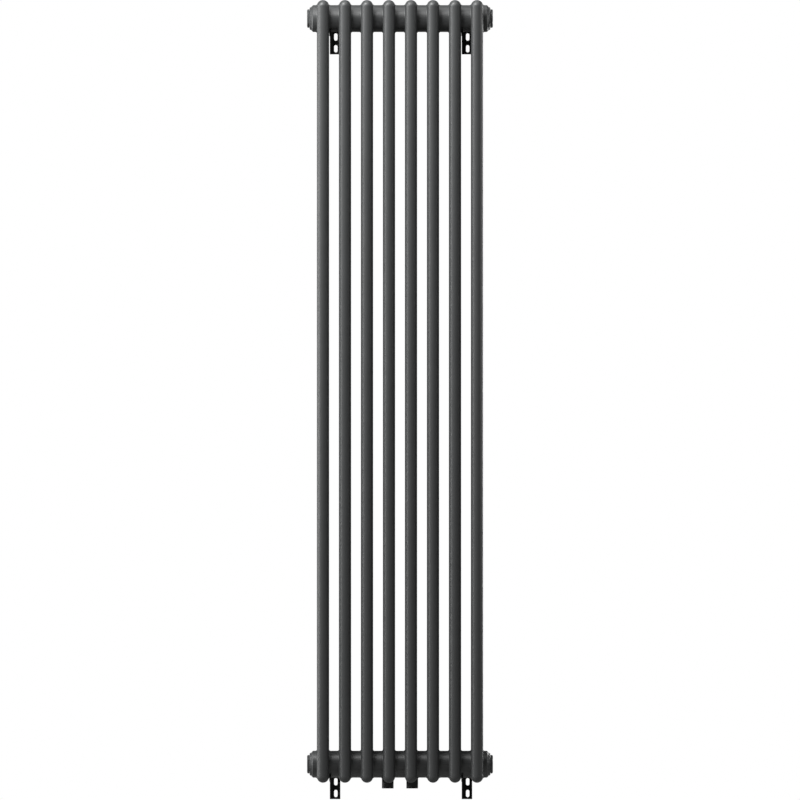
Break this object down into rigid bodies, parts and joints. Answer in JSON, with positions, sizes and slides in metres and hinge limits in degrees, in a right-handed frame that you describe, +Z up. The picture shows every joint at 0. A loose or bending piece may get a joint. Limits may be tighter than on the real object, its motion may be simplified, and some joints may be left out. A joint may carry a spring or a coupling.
{
  "type": "column radiator",
  "caption": "Tall steel column radiator with bottom centre pipe connections, screwed end plugs, air vent valve and adjustable wall brackets.",
  "frame": {"origin": "midpoint between the open lower ends of the two bottom centre connections", "axes": "+X across the width to the right seen from the front, +Y towards the wall, +Z up"},
  "size_m": [0.38, 0.135, 1.6348],
  "materials": {
    "radiator_paint": "anthracite powder coat, satin",
    "bracket_paint": "black powder coat, satin",
    "socket_steel": "dark painted steel",
    "bare_steel": "raw steel",
    "zinc_steel": "zinc plated",
    "brass": "turned brass",
    "black_plastic": "moulded black plastic",
    "gasket": "matt black rubber"
  },
  "bodies": {
    "radiator": {"tubes_1": "radiator_paint", "tubes_2": "radiator_paint", "tubes_3": "radiator_paint", "tubes_4": "radiator_paint", "tubes_5": "radiator_paint", "tubes_6": "radiator_paint", "tubes_7": "radiator_paint", "tubes_8": "radiator_paint", "head_top_1": "radiator_paint", "head_top_2": "radiator_paint", "head_top_3": "radiator_paint", "head_top_4": "radiator_paint", "head_top_5": "radiator_paint", "head_top_6": "radiator_paint", "head_top_7": "radiator_paint", "head_top_8": "radiator_paint", "head_bottom_1": "radiator_paint", "head_bottom_2": "radiator_paint", "head_bottom_3": "radiator_paint", "head_bottom_4": "radiator_paint", "head_bottom_5": "radiator_paint", "head_bottom_6": "radiator_paint", "head_bottom_7": "radiator_paint", "head_bottom_8": "radiator_paint", "end_cap_top_left": "radiator_paint", "end_cap_top_right": "radiator_paint", "end_cap_bottom_left": "radiator_paint", "end_cap_bottom_right": "radiator_paint", "plug_top_left": "radiator_paint", "plug_bottom_left": "radiator_paint", "plug_bottom_right": "radiator_paint", "vent_plug": "radiator_paint", "plug_gaskets": "gasket", "connection_left": "socket_steel", "connection_right": "socket_steel", "flow_divider": "bare_steel", "hook_arm_top_left": "bracket_paint", "hook_arm_top_right": "bracket_paint", "hook_arm_bottom_left": "bracket_paint", "hook_arm_bottom_right": "bracket_paint", "hook_liner_top_left": "black_plastic", "hook_liner_top_right": "black_plastic", "hook_liner_bottom_left": "black_plastic", "hook_liner_bottom_right": "black_plastic", "clamp_bolts": "zinc_steel", "clamp_washers": "zinc_steel", "clamp_nuts": "zinc_steel"},
    "vent_spindle": {"vent_spindle": "brass"},
    "vent_outlet_ring": {"vent_outlet_ring": "black_plastic"},
    "wall_angle_top_left": {"wall_angle_top_left": "bracket_paint"},
    "wall_angle_top_right": {"wall_angle_top_right": "bracket_paint"},
    "wall_angle_bottom_left": {"wall_angle_bottom_left": "bracket_paint"},
    "wall_angle_bottom_right": {"wall_angle_bottom_right": "bracket_paint"}
  },
  "joints": [
    {"name": "vent_spindle_turn", "type": "hinge", "parent": "radiator", "child": "vent_spindle", "pos_m": [0.17, 0, 1.5745], "axis": [1, 0, 0], "range_deg": [0, 360]},
    {"name": "vent_outlet_swivel", "type": "hinge", "parent": "radiator", "child": "vent_outlet_ring", "pos_m": [0.185, 0, 1.5745], "axis": [1, 0, 0], "continuous": true},
    {"name": "wall_slide_top_left", "type": "slide", "parent": "radiator", "child": "wall_angle_top_left", "axis": [0, 1, 0], "range_m": [-0.01, 0.01]},
    {"name": "wall_slide_top_right", "type": "slide", "parent": "radiator", "child": "wall_angle_top_right", "axis": [0, 1, 0], "range_m": [-0.01, 0.01]},
    {"name": "wall_slide_bottom_left", "type": "slide", "parent": "radiator", "child": "wall_angle_bottom_left", "axis": [0, 1, 0], "range_m": [-0.01, 0.01]},
    {"name": "wall_slide_bottom_right", "type": "slide", "parent": "radiator", "child": "wall_angle_bottom_right", "axis": [0, 1, 0], "range_m": [-0.01, 0.01]}
  ],
  "couplings": [
    {"joint": "wall_slide_top_right", "follows": "wall_slide_top_left", "ratio": 1},
    {"joint": "wall_slide_bottom_left", "follows": "wall_slide_top_left", "ratio": 1},
    {"joint": "wall_slide_bottom_right", "follows": "wall_slide_top_left", "ratio": 1}
  ]
}
